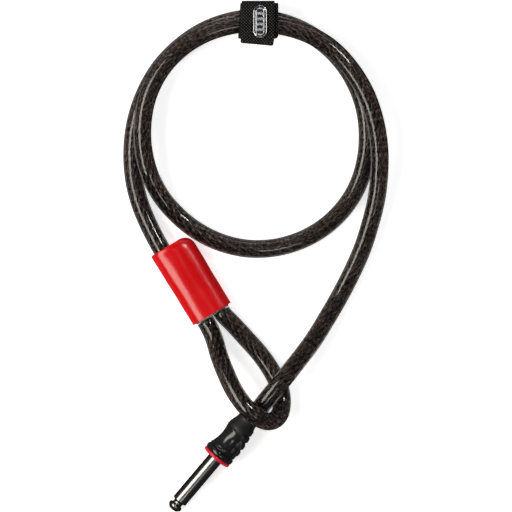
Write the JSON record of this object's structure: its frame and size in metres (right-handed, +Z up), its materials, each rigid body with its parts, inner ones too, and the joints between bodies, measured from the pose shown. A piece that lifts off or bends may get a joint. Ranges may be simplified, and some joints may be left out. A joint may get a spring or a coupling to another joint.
{
  "type": "plug-in loop cable",
  "caption": "Jacketed steel cable coiled twice: a plug with a grooved locking pin at one end, a crimped eye with a red cover at the other, and a hook-and-loop tie with a badge.",
  "frame": {"origin": "under the middle of the outline, on the surface the coiled cable lies on", "axes": "+Z up, away from the surface; +Y from the plug towards the strap at the top of the coil; +X towards the side of the coil that the plug's cable runs up"},
  "size_m": [0.1767, 0.3407, 0.0345],
  "materials": {
    "jacket": "clear smoke vinyl over dark bronze wire, glossy",
    "rope": "stranded steel wire",
    "pin": "dark nickel, turned and polished",
    "grip_plastic": "black moulded plastic",
    "grip_rubber": "matte soft rubber",
    "ring_plastic": "red moulded plastic",
    "cover_vinyl": "glossy red dipped vinyl",
    "ferrule_alloy": "crimped alloy",
    "webbing": "woven black nylon",
    "hook_tape": "hook tape",
    "badge_metal": "polished, plain"
  },
  "bodies": {
    "cable": {"locking_pin": "pin", "plug_ring": "ring_plastic", "grip_collar": "grip_plastic", "grip_body": "grip_plastic", "grip_rubber": "grip_rubber", "wire_rope": "rope", "cable_jacket_plug_run": "jacket", "cable_jacket_upper_turn_right": "jacket", "cable_jacket_upper_turn_left": "jacket", "cable_jacket_lower_turn_right": "jacket", "cable_jacket_lower_turn_left": "jacket", "cable_jacket_eye": "jacket", "loop_ferrule": "ferrule_alloy", "ferrule_cover": "cover_vinyl"},
    "strap": {"strap_band": "webbing"},
    "strap_end": {"strap_tail": "webbing", "hook_patch": "hook_tape", "badge_rim": "badge_metal", "badge_plate": "badge_metal"}
  },
  "joints": [
    {"name": "strap_shift", "type": "hinge", "parent": "cable", "child": "strap", "pos_m": [0, 0.0793, 0], "axis": [0, 0, 1], "range_deg": [-5, 5]},
    {"name": "strap_peel", "type": "hinge", "parent": "strap", "child": "strap_end", "pos_m": [0, 0.1674, 0.0304], "axis": [-1, 0, 0], "range_deg": [0, 110]}
  ]
}
